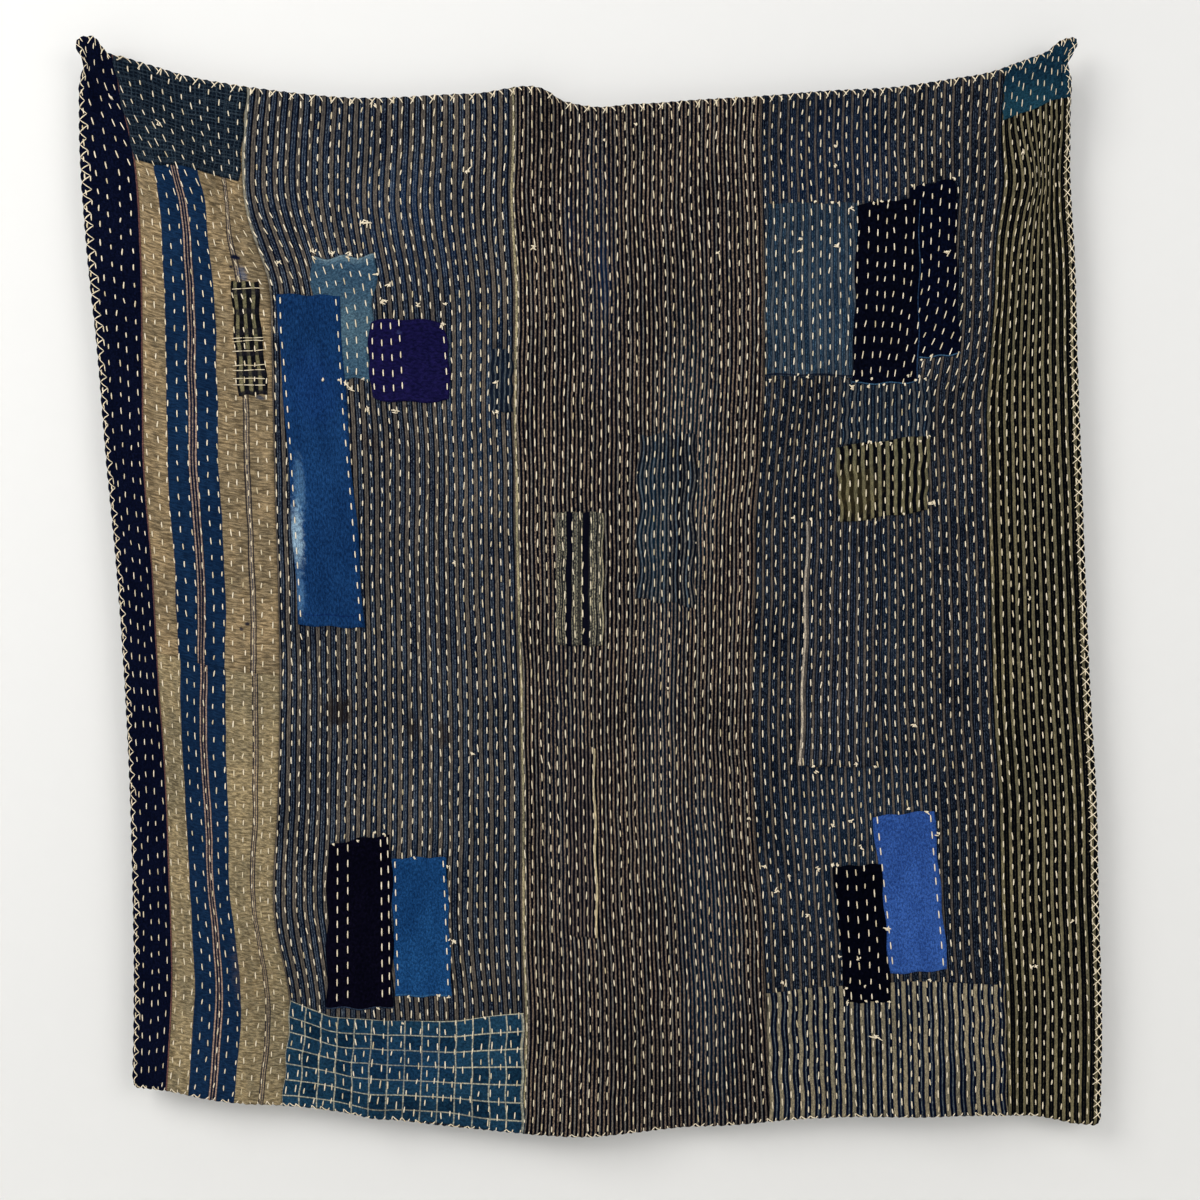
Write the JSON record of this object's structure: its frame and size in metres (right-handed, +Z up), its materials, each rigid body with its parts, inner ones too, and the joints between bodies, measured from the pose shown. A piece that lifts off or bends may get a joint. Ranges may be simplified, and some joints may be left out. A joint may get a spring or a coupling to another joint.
{
  "type": "boro patched cloth",
  "caption": "Large hanging cloth of joined narrow striped cotton widths, mended with sewn-on indigo patches, rows of running stitch and an overcast edge; pinned at its top.",
  "frame": {"origin": "the pin that holds the middle of the cloth's top edge, on the plane in which the pins lie", "axes": "+X to the right along the top edge, +Z up along the cloth, +Y towards its back; the front faces -Y"},
  "size_m": [1.316, 0.0363, 1.4056],
  "materials": {
    "navy_strip": "indigo cotton, soft and matt",
    "tan_width_upper": "tan and blue striped ribbed cotton, matt",
    "tan_width_lower": "tan and blue striped cotton, matt",
    "grey_width_left": "grey-brown and navy striped cotton, matt",
    "brown_width": "brown and near-black striped cotton, matt",
    "grey_width_right": "grey-brown and navy striped cotton, matt",
    "olive_strip": "olive and black striped cotton, matt",
    "plaid_corner_patch": "slate plaid cotton, matt",
    "teal_corner_patch": "plain teal cotton, matt",
    "darned_patch": "dark plaid cotton with pale darning, matt",
    "faded_teal_patch": "faded teal cotton, matt",
    "long_blue_patch": "faded blue cotton, matt",
    "purple_patch": "purple-navy cotton, matt",
    "shadow_stripe_patch": "blue-grey striped cotton, matt",
    "dark_band_patch": "speckled grey cotton with dark bands, matt",
    "blue_line_patch": "blue and brown striped cotton, matt",
    "narrow_brown_patch": "brown striped cotton with a pale edge, matt",
    "faded_stripe_patch": "faded blue-grey striped cotton, matt",
    "faded_stripe_offcut": "faded blue-grey striped cotton, matt",
    "navy_patch_right": "dark navy cotton, matt",
    "navy_patch_left": "black-navy cotton, matt",
    "selvedge_patch": "navy striped cotton with a pale selvedge, matt",
    "olive_patch": "olive striped cotton, matt",
    "check_patch": "teal-blue cotton with a pale check, matt",
    "striped_corner_patch": "tan and navy striped cotton, matt",
    "mid_blue_patch": "mid blue cotton, matt",
    "near_black_patch": "near-black cotton, matt",
    "bright_blue_patch": "bright blue cotton, matt",
    "dark_navy_patch": "dark navy cotton, matt"
  },
  "bodies": {
    "root": {"navy_strip": "navy_strip", "tan_width_upper": "tan_width_upper", "tan_width_lower": "tan_width_lower", "grey_width_left": "grey_width_left", "brown_width": "brown_width", "grey_width_right": "grey_width_right", "olive_strip": "olive_strip", "plaid_corner_patch": "plaid_corner_patch", "teal_corner_patch": "teal_corner_patch", "darned_patch": "darned_patch", "faded_teal_patch": "faded_teal_patch", "long_blue_patch": "long_blue_patch", "purple_patch": "purple_patch", "shadow_stripe_patch": "shadow_stripe_patch", "dark_band_patch": "dark_band_patch", "blue_line_patch": "blue_line_patch", "narrow_brown_patch": "narrow_brown_patch", "faded_stripe_patch": "faded_stripe_patch", "faded_stripe_offcut": "faded_stripe_offcut", "navy_patch_right": "navy_patch_right", "navy_patch_left": "navy_patch_left", "selvedge_patch": "selvedge_patch", "olive_patch": "olive_patch", "check_patch": "check_patch", "striped_corner_patch": "striped_corner_patch", "mid_blue_patch": "mid_blue_patch", "near_black_patch": "near_black_patch", "bright_blue_patch": "bright_blue_patch", "dark_navy_patch": "dark_navy_patch"}
  },
  "joints": []
}
